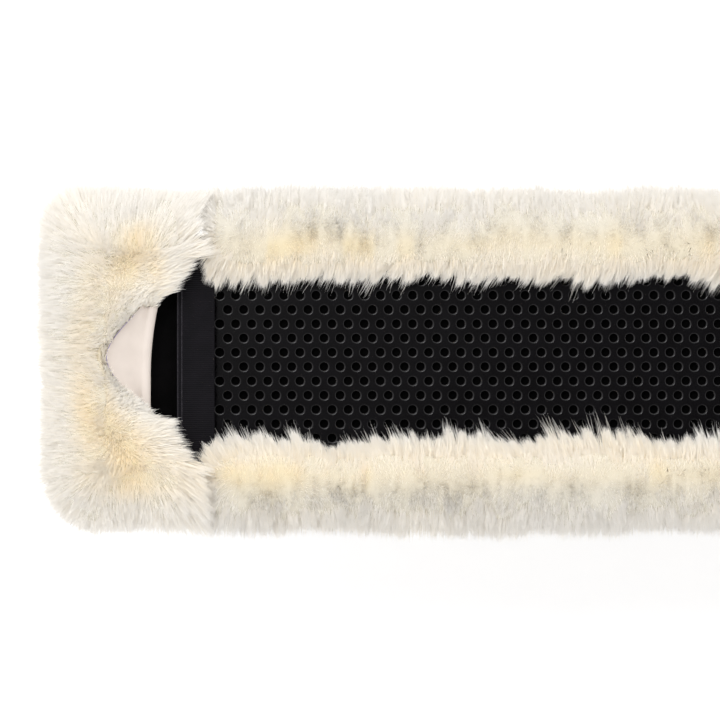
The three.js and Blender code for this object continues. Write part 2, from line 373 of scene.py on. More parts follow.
def linear(color):
    """An sRGB colour of 0 to 255 as linear RGBA."""
    c = np.array(color, float) / 255
    c = np.where(c <= 0.04045, c / 12.92, ((c + 0.055) / 1.055) ** 2.4)
    return (*c, 1.0)


def ramp(tree, stops):
    node = tree.nodes.new("ShaderNodeValToRGB")
    elements = node.color_ramp.elements
    while len(elements) < len(stops):
        elements.new(0.5)
    for element, (place, color) in zip(elements, stops):
        element.position = place
        element.color = linear(color)
    return node


def mix_colors(tree, factor, a, b):
    node = tree.nodes.new("ShaderNodeMix")
    node.data_type = "RGBA"
    tree.links.new(factor, node.inputs["Factor"])
    tree.links.new(a, node.inputs["A"])
    tree.links.new(b, node.inputs["B"])
    return node.outputs["Result"]


def object_noise(tree, scale, detail=3.0, stretch=None):
    """A noise node on object coordinates, with features a metre over scale wide."""
    coordinates = tree.nodes.new("ShaderNodeTexCoord").outputs["Object"]
    if stretch is not None:
        mapping = tree.nodes.new("ShaderNodeMapping")
        mapping.inputs["Scale"].default_value = stretch
        tree.links.new(coordinates, mapping.inputs["Vector"])
        coordinates = mapping.outputs["Vector"]
    node = tree.nodes.new("ShaderNodeTexNoise")
    node.inputs["Scale"].default_value = scale
    node.inputs["Detail"].default_value = detail
    tree.links.new(coordinates, node.inputs["Vector"])
    return node.outputs["Fac"]


def add_bump(tree, shader, height, strength, distance):
    bump = tree.nodes.new("ShaderNodeBump")
    bump.inputs["Strength"].default_value = strength
    bump.inputs["Distance"].default_value = distance
    tree.links.new(height, bump.inputs["Height"])
    tree.links.new(bump.outputs["Normal"], shader.inputs["Normal"])


def wool_stops(root, middle, tip, dense):
    """Colours up the wool map: along a blade, and then that of dense wool, which is set darker as painted
    shade for its place deep under the blades.
    """
    return [(0.0, root), (0.4, middle), (TIP, tip), (BETWEEN, dense), (DENSE, dense)]


def wool_material():
    """Colour runs from the deep yellow of a blade's root to its off-white tip. The wool map holds the
    blade's tone across and the place along it upwards. Blades let light through, dense wool doesn't."""
    material, tree, shader = new_material("lambswool", 0.9, specular=0.15)
    uv = tree.nodes.new("ShaderNodeUVMap")
    uv.uv_map = "OFBake"
    split = tree.nodes.new("ShaderNodeSeparateXYZ")
    tree.links.new(uv.outputs["UV"], split.inputs["Vector"])
    # Painted shade: the last colour of each ramp, for dense wool, is darker than its blades, standing in for
    # the shade the dense wool lies in under them.
    white_stops = wool_stops((238, 227, 205), (243, 238, 228), (243, 241, 238), (193, 188, 176))
    yellow_stops = wool_stops((246, 212, 148), (249, 227, 180), (248, 238, 217), (203, 188, 154))
    white, yellow = ramp(tree, white_stops), ramp(tree, yellow_stops)
    for node in (white, yellow):
        tree.links.new(split.outputs["Y"], node.inputs["Fac"])
    color = mix_colors(tree, split.outputs["X"], white.outputs["Color"], yellow.outputs["Color"])
    tree.links.new(color, shader.inputs["Base Color"])
    through = tree.nodes.new("ShaderNodeBsdfTranslucent")
    tree.links.new(color, through.inputs["Color"])
    both = tree.nodes.new("ShaderNodeMixShader")
    thin = tree.nodes.new("ShaderNodeMath")
    thin.operation = "LESS_THAN"
    thin.inputs[1].default_value = BETWEEN
    tree.links.new(split.outputs["Y"], thin.inputs[0])
    share = tree.nodes.new("ShaderNodeMath")
    share.operation = "MULTIPLY"
    share.inputs[1].default_value = 0.42
    tree.links.new(thin.outputs["Value"], share.inputs[0])
    tree.links.new(share.outputs["Value"], both.inputs["Fac"])
    tree.links.new(shader.outputs["BSDF"], both.inputs[1])
    tree.links.new(through.outputs["BSDF"], both.inputs[2])
    tree.links.new(both.outputs["Shader"], tree.nodes["Material Output"].inputs["Surface"])
    return material


def two_tone(name, roughness, dark, light, scale, bump_scale, bump_distance, sheen=0.0, specular=0.3):
    """A material whose colour drifts between two tones, with fine grain as bump."""
    material, tree, shader = new_material(name, roughness, sheen=sheen, specular=specular)
    tones = ramp(tree, [(0.3, dark), (0.7, light)])
    tree.links.new(object_noise(tree, scale), tones.inputs["Fac"])
    tree.links.new(tones.outputs["Color"], shader.inputs["Base Color"])
    add_bump(tree, shader, object_noise(tree, bump_scale, 4.0), 0.5, bump_distance)
    return material


WOOL = wool_material()
SUEDE = two_tone("suede", 0.95, (188, 178, 170), (199, 189, 181), 60, 1800, 0.0002, specular=0.1)
FOAM = two_tone("foam", 0.9, (5, 5, 6), (9, 9, 9), 90, 1500, 0.0002, specular=0.05)
NEOPRENE = two_tone("neoprene", 0.22, (5, 4, 5), (9, 8, 10), 70, 2600, 0.00002, specular=0.3)
PANEL = two_tone("panel_cloth", 0.9, (4, 4, 4), (8, 7, 8), 80, 2400, 0.0001, specular=0.05)
ELASTIC = two_tone("elastic", 0.6, (11, 10, 13), (16, 14, 18), 120, 3000, 0.00006, specular=0.06)
# Painted highlight: the keeper's raised cords are coloured lighter than the elastic, standing in for light
# caught along the band's raised edge.
CORD_HIGHLIGHT = two_tone("cord_painted_highlight", 0.6, (34, 32, 36), (46, 44, 49), 400, 4000, 0.00003, specular=0.15)
PEN = two_tone("pen_line", 0.8, (96, 86, 150), (128, 116, 172), 200, 3000, 0.00002)

# ---- long edge rolls ----


# Where the tips of the roll's wool end, by how far round the hide's edge its roots are.
ROLL_ROOTS = (0, 2.5, 5, 7.5, 10, 12, 14.5, 17.5, 20.5, 23.5, 26.5, 29.5, 33)
ROLL_TIP_Y = (38, 40.5, 43.5, 48, 54.5, 65, 76, 85, 91.5, 94, 92, 85, 74)
ROLL_TIP_Z = (34, 38, 42, 46, 49, 50.5, 47.5, 41, 31, 20, 9, 3.5, 1.2)


def roll_surface(side, seed):
    """Wool along one long edge: inside the parting it falls over the liner, outside it stands out."""

    def surface(x, arc):
        phi = np.pi / 2 - np.clip((arc - MARGIN) / FOLD_R, 0, np.pi)
        under = np.clip(arc - MARGIN - np.pi * FOLD_R, 0, None)
        y = np.where(arc < MARGIN, FLANGE_Y + arc, HIDE_Y - FOLD_R + FOLD_R * np.cos(phi) - under)
        z = HIDE_Z + FOLD_R + FOLD_R * np.sin(phi)
        flow = noise(x, arc * 2, 34, seed) * 0.6 + noise(x, arc * 2, 13, seed + 1) * 0.4
        wander = 1.6 * noise(x, 0 * x, 26, seed + 2) + 0.9 * noise(x, 0 * x, 7, seed + 7)
        parting = MARGIN + 1.2 + wander
        inwards = np.clip((parting - arc) / parting, 0, 1)
        from_crack = arc - parting
        crack = np.exp(-((from_crack / 1.0) ** 2))
        along_profile = arc - wander * np.exp(-(((arc - MARGIN - 1) / 5) ** 2))
        tip_y = np.interp(along_profile, ROLL_ROOTS, ROLL_TIP_Y)
        tip_z = np.interp(along_profile, ROLL_ROOTS, ROLL_TIP_Z)
        bulge = 1 + 0.06 * noise(x, arc, 18, seed + 5) + 0.07 * noise(x, arc, 60, seed + 8)
        ragged = noise(x, 0 * x, 18, seed + 3) * 3 + noise(x, 0 * x, 50, seed + 4) * 2.5
        ragged += noise(x, 0 * x, 6, seed + 10) * 3.5
        dy = (tip_y - y) * bulge - ragged * inwards**2
        dz = (tip_z - z) * bulge
        to_end = np.clip((np.abs(x) - ROLL_END + 16) / 16, 0, 1)
        dx = flow * 5 - 6 * inwards**1.5 + np.sign(x) * 13 * to_end**1.5 * (1 - inwards)
        root = points(x, side * y, z)
        normal = points(0 * x, side * np.cos(phi), np.sin(phi))
        tip = root + points(dx, side * dy, dz)
        rise = np.where(arc < parting, 13.5 - 6 * inwards**2, 12.5 - 3 * smooth(from_crack / 8))
        inner = smooth((parting + 3.5 - arc) / 4)
        yellow = 0.08 + 0.12 * noise(x, 0 * x, 32, seed + 9)
        spots = smooth((noise(x, 0 * x, 10, seed + 12) - 0.2) / 0.6)
        at_spots = spots * np.exp(-(((from_crack + 0.5) / 2) ** 2))
        tone = 0.06 + 0.24 * inner * smooth(arc / 6) + 0.12 * noise(x, arc * 3, 38, seed + 6)
        tone += yellow * crack + 0.35 * at_spots
        return root, normal, tip, rise, np.clip(tone, 0.02, 0.98)

    return surface


ROLL_ARC = MARGIN + np.pi * FOLD_R + 3
OVERLAP = 3  # how far each half of the long wool pieces reaches past the cover's middle

# The stretches of a roll's wool, from the liner round to the underside. The words are those of blades().
FRINGE = dict(
    locks=600, per_lock=20, spread=0.6, pull=0.9, tuft=7, tuft_pull=0.85, width=0.4, reach=(0.78, 1.1)
)
WISPS = dict(locks=70, per_lock=5, spread=1.0, pull=0.3, tuft=9, tuft_pull=0.4, width=0.26, reach=(1.1, 1.5))
INNER_SLOPE = dict(
    locks=2500, per_lock=15, spread=0.8, pull=0.6, tuft=8, tuft_pull=0.3, width=0.44, steps=SHORT_BLADE
)
PARTING = dict(
    locks=1000, per_lock=13, spread=0.8, pull=0.5, tuft=8, tuft_pull=0.2, width=0.46, steps=SHORT_BLADE
)
CREST = dict(
    locks=3400, per_lock=13, spread=0.8, pull=0.65, tuft=8, tuft_pull=0.35, width=0.48, steps=SHORT_BLADE
)
UNDERSIDE = dict(
    locks=1000, per_lock=12, spread=0.9, pull=0.5, tuft=9, tuft_pull=0.3, width=0.6, steps=SHORT_BLADE
)


def sunk_past_middle(x, s):
    """Lowers the end of one half's dense wool where it lies inside the other half."""
    return 1 - 0.15 * smooth(-s * x / OVERLAP)


def roll_body_height(x, arc):
    """Low at the fringe and at the ends, and full in between."""
    from_fringe = smooth(arc / 8)
    from_end = smooth((ROLL_END - np.abs(x)) / 10 + 0.35)
    at_parting = np.exp(-(((arc - MARGIN - 2) / 3) ** 2))
    return (0.76 * (0.45 + 0.55 * from_fringe) + 0.07 * at_parting) * (0.3 + 0.7 * from_end)


def edge_roll(side, edge, s, end):
    """Half of one long roll, from the middle of the cover to the pocket."""
    surface = roll_surface(side, 11 if side > 0 else 29)
    rng = np.random.default_rng(100 + 10 * side + s)
    span = sorted((-s * OVERLAP, s * ROLL_END))

    def height(x, arc):
        return roll_body_height(x, arc) * sunk_past_middle(x, s)

    body = wool_body(surface, np.linspace(*span, 182), np.linspace(0.3, ROLL_ARC, 36), height, 5)
    inner = [
        body,
        blades(rng, surface, (span, (0.2, 4)), **FRINGE),
        blades(rng, surface, (span, (0.2, 2)), **WISPS),
        blades(rng, surface, (span, (3, MARGIN + 3)), **INNER_SLOPE),
    ]
    outer = [
        blades(rng, surface, (span, (MARGIN - 1, MARGIN + 5)), **PARTING),
        blades(rng, surface, (span, (MARGIN + 2, MARGIN + 13)), **CREST),
        blades(rng, surface, (span, (MARGIN + 11, ROLL_ARC)), **UNDERSIDE),
    ]
    for name, parts in (("inner", inner), ("outer", outer)):
        roll = wool_object(f"roll_wool_{edge}_{end}_{name}", parts)
        bend(roll, ends_of(f"wool_roll_{edge}", end))


def bend(obj, nodes):
    """Hides the CAD nodes that one half of a long piece stands for, and bakes the piece's placement into its
    mesh.
    """
    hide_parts(*nodes)
    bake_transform(obj)


def ends_of(layer, end):
    """The CAD nodes of a long layer that one half of it stands for."""
    return [f"{layer}_{end}"] + ([f"{layer}_centre"] if end == "left" else [])


# ---- wool under the cover ----


def base_surface(seed):
    """Wool of the horse side: it points down and is pressed flat where the cover lies on it."""

    def surface(x, y):
        lean_x = 9 * noise(x, y, 22, seed) + 4 * noise(x, y, 8, seed + 1)
        lean_y = 9 * noise(x, y, 22, seed + 2) + 4 * noise(x, y, 8, seed + 3)
        root = points(x, y, HIDE_Z - 0.2)
        normal = points(0 * x, 0 * x, -1)
        tip = root + points(lean_x, lean_y, -HIDE_Z + 1.2 + noise(x, y, 12, seed + 4))
        tone = 0.3 + 0.2 * noise(x, y, 45, seed + 5)
        return root, normal, tip, np.full(x.shape, 11.0), np.clip(tone, 0.02, 0.98)

    return surface


HORSE_SIDE = dict(locks=3600, per_lock=9, spread=1.3, pull=0.55, tuft=12, tuft_pull=0.3, width=0.9)


def base_wool(s, end):
    surface = base_surface(41)
    rng = np.random.default_rng(200 + s)
    near, far = sorted((-s * OVERLAP, s * (HOOD_X + 2)))
    side = HOOD_Y + 3

    def height(x, y):
        return 0.7 * sunk_past_middle(x, s)

    body = wool_body(surface, np.linspace(near, far, 120), np.linspace(-side, side, 44), height, 8)
    parts = [body, blades(rng, surface, ((near, far), (-side, side)), **HORSE_SIDE)]
    wool = wool_object(f"base_wool_{end}", parts)
    bend(wool, ends_of("wool_base", end))


# ---- pocket wool ----


def tab_edge(y):
    """How far out the turned-back tab reaches at each y: a rounded point."""
    return TAB_TIP + 16 - np.hypot(16, 1.2 * (y - 1.5))


def fold_line(y):
    """Where the tab turns back at the mouth, at each y."""
    return MOUTH_X + 1.6 - 0.003 * np.clip(np.clip(y, None, MOUTH_HALF) + 8, 0, None) ** 2


def mouth_edge(y):
    """The flap's edge at each y: just inside the tab's turn, running forward at both sides."""
    return fold_line(y) + 1.2 - 14 * smooth((np.abs(y) - 30) / 30)


def flap_surface(s, seed):
    """Wool on the flap. A curved parting runs round the mouth: inside it the wool sweeps over the
    mouth, outside it the wool falls outwards."""

    def surface(out, y):
        front = np.sign(y) * smooth(np.abs(y) / 6)
        wander = 3 * noise(out, y, 30, seed)
        parting = 324 - 0.57 * np.clip(np.abs(y) - 18, 0, None) + wander
        inside = smooth((parting - out) / 12 + 0.5)
        to_mouth = np.clip((out - mouth_edge(y)) / 16, 0, 1)
        beside_tab = np.clip((out - tab_edge(y)) * 0.8 / 14, 0, 1)
        beside_tab = np.where(np.abs(y) > MOUTH_HALF + 4, 1, beside_tab)
        sweep = 5.5 + 11 * (1 - to_mouth)
        flow = noise(out, y, 26, seed + 1) * 0.55 + noise(out, y, 10, seed + 2) * 0.4
        in_y = np.where(y > 0, 0.45, 0.12) + flow
        dx_in, dy_in = -sweep, sweep * in_y
        dx_out = 5 + 3 * flow
        dy_out = front * 3 + 7 * flow
        calm = 0.3 + 0.7 * beside_tab
        at_tab = np.clip(1 - (out - tab_edge(y)) / 6, 0, 1) * (np.abs(y) < MOUTH_HALF + 2)
        dx = (dx_in * inside + dx_out * (1 - inside)) * calm + 1.2 * at_tab
        dy = (dy_in * inside + dy_out * (1 - inside)) * calm + 1.2 * front * at_tab
        lift = 14.5 - 6.5 * (1 - to_mouth) ** 2 * (np.abs(y) > MOUTH_HALF - 4) + noise(out, y, 18, seed + 3)
        root = points(s * out, y, FLAP_TOP)
        normal = points(0 * out, 0 * out, 1)
        tip = root + points(s * dx, dy, lift)
        crack = np.exp(-(((parting - out) / 5) ** 2))
        tone = 0.14 + 0.1 * noise(out, y, 30, seed + 4) + 0.1 * crack + streaks(out, y)
        return root, normal, tip, np.full(out.shape, 13.0), np.clip(tone, 0.02, 0.98)

    return surface


# Yellower streaks of the pocket's wool: distance out, y, length, width, turn in degrees, strength.
STREAKS = (
    (305, 54, 50, 18, 115, 0.5),
    (301, 56, 30, 7, 112, 0.25),
    (296, 47, 24, 6, 97, 0.4),
    (323, 14, 50, 10, 95, 0.35),
    (322, -22, 36, 10, 85, 0.45),
    (309, -44, 44, 16, 58, 0.65),
    (303, -66, 26, 12, 40, 0.3),
    (302, -70, 76, 40, 5, 0.3),
)


def streaks(out, y):
    """How much yellower the wool is at each place."""
    total = np.zeros(np.broadcast(out, y).shape)
    for middle, middle_y, length, width, turn, strength in STREAKS:
        angle = math.radians(turn)
        along = (out - middle) * math.cos(angle) + (y - middle_y) * math.sin(angle)
        across = (y - middle_y) * math.cos(angle) - (out - middle) * math.sin(angle)
        total += strength * np.exp(-((2 * along / length) ** 2) - (2 * across / width) ** 2)
    return total


CORNER_ARC = 45  # length given to each rounded corner of the pocket's edge
SIDE_START = MOUTH_X - 16  # the wool at the pocket's sides starts here


def rim_places(a):
    """Runs round the pocket's edge: distance out, y and the angle that the edge faces in plan."""
    side = HOOD_X - SIDE_START
    end = 2 * HOOD_Y
    stops = np.cumsum([0, side, CORNER_ARC, end, CORNER_ARC, side])
    out = np.interp(a, stops, [SIDE_START, HOOD_X, HOOD_X, HOOD_X, HOOD_X, SIDE_START])
    y = np.interp(a, stops, [HOOD_Y, HOOD_Y, HOOD_Y, -HOOD_Y, -HOOD_Y, -HOOD_Y])
    angle = np.interp(a, stops, np.radians([90, 90, 0, 0, -90, -90]))
    return out, y, angle


RIM_LENGTH = 2 * (HOOD_X - SIDE_START) + 2 * CORNER_ARC + 2 * HOOD_Y
RIM_ARC = np.pi * HOOD_R


def rim_surface(s, seed):
    """Wool round the pocket's sides and end, where the hide turns down and under."""

    def surface(a, arc):
        out, y, angle = rim_places(a)
        phi = np.pi / 2 - np.clip(arc, 0, None) / HOOD_R
        power = np.where(angle > 0, 4.5, 2.05)
        square = (np.abs(np.cos(angle)) ** power + np.abs(np.sin(angle)) ** power) ** (-1 / power)
        flow = noise(a, arc * 2, 30, seed) * 0.6 + noise(a, arc * 2, 12, seed + 1) * 0.45
        top_lean = np.radians(25) * np.clip(phi / (np.pi / 2), 0, 1) ** 2 * smooth((arc + 8) / 11)
        tilt = phi - np.radians(5) - top_lean
        length = 27.2 - 9.2 * np.clip(np.sin(phi), 0, 1) + 2 * noise(a, arc, 26, seed + 2)
        at_mouth = np.clip((SIDE_START + 24 - out) / 24, 0, 1) * (np.abs(np.sin(angle)) > 0.9)
        plan = points(s * np.cos(angle), np.sin(angle), 0)
        round_plan = points(-s * np.sin(angle), np.cos(angle), 0)
        ring = HOOD_R * np.cos(phi) * square + np.clip(arc, None, 0)
        root = points(s * out, y, HIDE_Z + HOOD_R + HOOD_R * np.sin(phi)) + plan * ring[:, None]
        normal = unit(plan * np.cos(phi)[:, None] + points(0, 0, np.sin(phi)))
        reach = length * np.cos(tilt) * square
        tip = root + plan * reach[:, None] + points(0, 0, length * np.sin(tilt))
        tip += round_plan * (flow * 7)[:, None]
        to_roll = 20 + 6 * noise(arc, angle, 7, seed + 5) + 3 * noise(arc, angle, 2.5, seed + 6)
        tip += points(-s * to_roll * at_mouth**1.5, 0, 0)
        near_top = smooth(1 - arc / 10)
        tone = 0.04 + 0.08 * near_top + 0.1 * noise(a, arc, 35, seed + 3)
        tone += near_top * streaks(out + arc * np.cos(angle), y + arc * np.sin(angle))
        return root, normal, tip, np.full(a.shape, 10.0), np.clip(tone, 0.02, 0.98)

    return surface


def off_the_tab(out, y):
    """True for wool that the tab doesn't lie on."""
    return (np.abs(y) > MOUTH_HALF - 1.2) | (out > tab_edge(y) + 0.5)


def in_flap(out, y):
    return (out > mouth_edge(y) + 0.5) & off_the_tab(out, y)


def flap_body(surface):
    """Dense wool on the flap, lower under the tab and at the mouth."""
    far, side = HOOD_X + 6, HOOD_Y + 6
    across = np.linspace(-side, side, 66)
    steps = np.linspace(0, 1, 34)

    def warped(t, y):
        out = mouth_edge(y) + 0.6 + (far - mouth_edge(y)) * t
        return surface(out, y)

    def height(t, y):
        out = mouth_edge(y) + (far - mouth_edge(y)) * t
        under_tab = smooth((tab_edge(y) + 3 - out) / 4) * (np.abs(y) < MOUTH_HALF + 1)
        outer_edge = smooth((far - out) / 5) * smooth((side - np.abs(y)) / 5)
        return 0.77 * (0.35 + 0.65 * smooth(t * 3)) * (1 - 0.8 * under_tab) * (0.5 + 0.5 * outer_edge)

    return wool_body(warped, steps, across, height, 15)


def fold_reach(s):
    """Two points for the end fold: one beyond the fold, and one on the flap."""
    return (s * (FOLD_X + 12) * MM, 0, 0), (s * (HOOD_X - 8) * MM, 0, 0)


def side_reach(s):
    """Two such points for the pocket's sides, which stay sewn to the section: one low at the pocket's end,
    and one at the flap's top.
    """
    return (s * HOOD_X * MM, 0, (HIDE_Z + 0.5 * HOOD_R) * MM), (s * HOOD_X * MM, 0, FLAP_TOP * MM)


FLAP = dict(locks=4000, per_lock=15, spread=1.0, pull=0.6, tuft=9, tuft_pull=0.35, width=0.46)
RIM = dict(
    locks=4200, per_lock=14, spread=0.9, pull=0.5, tuft=10, tuft_pull=0.25, width=0.5, steps=SHORT_BLADE
)
LOWER_RIM = dict(locks=1800, per_lock=12, spread=1.0, pull=0.5, tuft=12, tuft_pull=0.25, width=0.7)


def pocket_wool(s, end):
    surface = flap_surface(s, 61)
    rim = rim_surface(s, 83)
    rng = np.random.default_rng(300 + s)
    rim_steps = np.linspace(0, RIM_LENGTH, 120)
    upper = RIM_ARC * 0.56

    def rim_height(a, arc):
        out, y, _ = rim_places(a)
        beside = np.where(np.abs(y) < MOUTH_HALF, smooth((HOOD_X + arc - tab_edge(y) + 1.5) / 2.5), 1)
        inner_edge = smooth((arc + 8) / 5)
        from_mouth = smooth((out - SIDE_START) / 12)
        return (0.1 + 0.66 * beside) * (0.5 + 0.5 * from_mouth) * (0.5 + 0.5 * inner_edge)

    def clear_of_tab(a, arc):
        y = rim_places(a)[1]
        return (np.abs(y) > MOUTH_HALF) | (HOOD_X + arc > tab_edge(y) + 0.5)

    flap_area = ((MOUTH_X - 15, HOOD_X + 1), (-HOOD_Y - 1, HOOD_Y + 1))
    top_parts = [flap_body(surface), blades(rng, surface, flap_area, keep=in_flap, **FLAP)]
    rim_area = ((0, RIM_LENGTH), (-4, upper))
    side_parts = [
        wool_body(rim, rim_steps, np.linspace(-8, upper, 16), rim_height, 17),
        blades(rng, rim, rim_area, keep=clear_of_tab, **RIM),
    ]
    side_nodes = [f"pocket_side_{edge}_{end}" for _, edge in SIDES]
    pieces = (
        ("top", top_parts, [f"pocket_wool_{end}"], fold_reach(s)),
        ("round", side_parts, side_nodes, side_reach(s)),
    )
    for name, parts, nodes, (start, stop) in pieces:
        piece = wool_object(f"pocket_wool_{end}_{name}", parts)
        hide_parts(*nodes)
        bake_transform(piece)
        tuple(start)
        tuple(stop)
    lower = [
        wool_body(rim, rim_steps, np.linspace(upper + 0.1, RIM_ARC + 1, 12), rim_height, 19),
        blades(rng, rim, ((0, RIM_LENGTH), (upper - 5, RIM_ARC + 1)), **LOWER_RIM),
    ]
    under = wool_object(f"end_wool_{end}", lower)
    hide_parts(f"wool_end_{end}")
    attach(under, f"{end}_section")


# ---- hide ----


def hide_path():
    """The hide's outer face from one turned-over edge round to the other, as Y-Z points."""
    turn = np.linspace(np.pi / 2, -np.pi / 2, 14)
    fold = np.stack([HIDE_Y - FOLD_R + FOLD_R * np.cos(turn), HIDE_Z + FOLD_R + FOLD_R * np.sin(turn)], 1)
    right = np.concatenate([[[FLANGE_Y, HIDE_TOP], [FLANGE_Y + MARGIN / 2, HIDE_TOP]], fold])
    left = (right * [-1, 1])[::-1]
    flat = np.stack([np.linspace(1, -1, 9) * (HIDE_Y - FOLD_R), np.full(9, HIDE_Z)], 1)[1:-1]
    return np.concatenate([right, flat, left])


def hide(s, end):
    path = hide_path()
    step = np.gradient(path, axis=0)
    inwards = unit(np.stack([step[:, 1], -step[:, 0]], 1))
    xs = np.linspace(0, s * PANEL_END, 130)
    outer = np.array([points(x, path[:, 0], path[:, 1]) for x in xs])
    inner_path = path + inwards * HIDE_THICK * 0.94
    inner = np.array([points(x, inner_path[:, 0], inner_path[:, 1]) for x in xs])
    obj = shell_object(f"hide_{end}_half", inner, outer, SUEDE)
    bend(obj, ends_of("hide", end))


def pocket_hide(s, end):
    """The hide's end fold and the flap, which is the pocket's roof."""
    ys = np.linspace(-HIDE_Y, HIDE_Y, 90)
    turn = np.linspace(-np.pi / 2, np.pi / 2, 12)
    rows_outer, rows_inner = [], []
    for y in ys:
        squeeze = math.sqrt(max(0.0, 1 - max(0.0, (abs(y) - HOOD_Y) / HOOD_R) ** 2))
        radius = max(HOOD_R * squeeze, 1.2)
        mid = HIDE_Z + HOOD_R
        flat = np.linspace(HOOD_X - 4, mouth_edge(np.array(y)) + 0.2, 14)
        fold_x = HOOD_X + HOOD_R * np.cos(turn)
        outer = [(x, mid + radius * np.sin(t)) for x, t in zip(fold_x, turn)]
        outer += [(x, mid + radius) for x in flat]
        inner_radius = max(radius - HIDE_THICK, 0.4)
        fold_in = HOOD_X + (HOOD_R - HIDE_THICK) * np.cos(turn)
        inner = [(x, mid + inner_radius * np.sin(t)) for x, t in zip(fold_in, turn)]
        inner += [(x, mid + inner_radius) for x in flat]
        rows_outer.append([(s * x, y, z) for x, z in outer])
        rows_inner.append([(s * x, y, z) for x, z in inner])
    obj = shell_object(f"pocket_lining_{end}", np.array(rows_inner), np.array(rows_outer), SUEDE)
    around = HOOD_X - mouth_edge(0.0) + np.pi * HOOD_R
    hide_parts(f"end_fold_{end}", f"pocket_hide_{end}")
    fold_start, fold_end = fold_reach(s)
    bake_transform(obj)
    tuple(fold_start)
    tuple(fold_end)


TAB_THICK = 1.5
TAB_ROLL = 4.2  # radius of the tab's turn at the mouth


def tab_point(s, y, along):
    """A point on the tab's upper face. along runs from 0, inside the turn at the mouth, to 1, its tip."""
    turn = np.clip(along / 0.3, 0, 1)
    angle = -np.pi / 2 + np.pi * turn
    centre_x = fold_line(y) + TAB_ROLL
    centre_z = FLAP_TOP + TAB_ROLL
    flat = np.clip((along - 0.3) / 0.7, 0, 1)
    span = np.maximum(tab_edge(y) - centre_x, 0.5)
    x = centre_x - TAB_ROLL * np.cos(angle) * (turn < 1) + span * flat
    z = centre_z + TAB_ROLL * np.sin(angle) + 1.6 * flat * flat - 1.2 * np.sin(np.pi * flat)
    z = z + 0.5 * noise(x, y, 14, 5) * flat + 0.9 * (y / MOUTH_HALF) ** 2
    return points(s * x, y, z)


def mouth_tab(s, end):
    """The flap's pointed edge, turned back over the wool with its skin side up."""
    ys = np.linspace(-MOUTH_HALF, MOUTH_HALF, 70)
    along = np.concatenate([np.linspace(0, 0.3, 12), np.linspace(0.34, 1, 26)])
    yy, aa = np.meshgrid(ys, along, indexing="ij")
    upper = tab_point(s, yy.ravel(), aa.ravel()).reshape(*yy.shape, 3)
    du = np.gradient(upper, axis=0)
    dv = np.gradient(upper, axis=1)
    normal = unit(np.cross(du, dv))
    normal *= np.where(normal[:, -5:, 2].mean() < 0, -1, 1)
    rim = np.minimum(1, np.minimum(len(along) - 1 - np.arange(len(along)), 3) / 3 + 0.35)
    lower = upper - normal * (TAB_THICK * rim)[None, :, None]
    obj = shell_object(f"tab_skin_{end}", lower, upper, SUEDE)
    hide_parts(f"mouth_tab_{end}")
    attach(obj, f"{end}_flap")
    line = pen_line(s, end)


def pen_line(s, end):
    """The cutter's line, still to be seen just inside the tab's edge."""
    ys = np.linspace(-11, 24, 60)
    path = tab_point(s, ys, np.full(ys.shape, 0.975)) + [0, 0, 0.05]
    line = tube(f"tab_line_{end}", path, 0.16, PEN, sides=5)
    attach(line, f"{end}_flap")
    return line


def tube(name, path, radius, material, sides=6):
    """A closed tube along a path of points."""
    tangent = unit(np.gradient(path, axis=0))
    side = unit(np.cross(tangent, [0, 0, 1.0]))
    up = np.cross(side, tangent)
    angles = np.linspace(0, 2 * np.pi, sides, endpoint=False)
    ring = np.cos(angles)[None, :, None] * side[:, None] + np.sin(angles)[None, :, None] * up[:, None]
    rings = path[:, None] + radius * ring
    count = len(path)
    index = np.arange(count * sides).reshape(count, sides)
    after = np.roll(index, -1, axis=1)
    walls = np.stack([index[:-1], after[:-1], after[1:], index[1:]], -1).reshape(-1, 4)
    vertices = np.concatenate([rings.reshape(-1, 3), path[:1], path[-1:]])
    first, last = count * sides, count * sides + 1
    cap0 = np.stack([index[0], np.full(sides, first), np.full(sides, first), after[0]], -1)
    cap1 = np.stack([index[-1], after[-1], np.full(sides, last), np.full(sides, last)], -1)
    triangles = np.concatenate([as_triangles(walls), cap0[:, [0, 1, 3]], cap1[:, [0, 1, 2]]])
    return make_object(name, vertices, triangles, material)


# ---- liner, foam, panels ----
HOLE_PITCH = 8.47  # along the cover
ROW_STEP = 7.53  # across it
ROW_SHIFT = 0.4  # of all the rows to the front
HOLE_R = 2.1
HOLE_ROWS = 8  # to either side of the middle
HOLE_COLUMNS = 31
CELL_POINTS = 16
PUNCH_LEAN = np.array([0.26, -0.2])  # the holes' upper edges are pushed over to one side


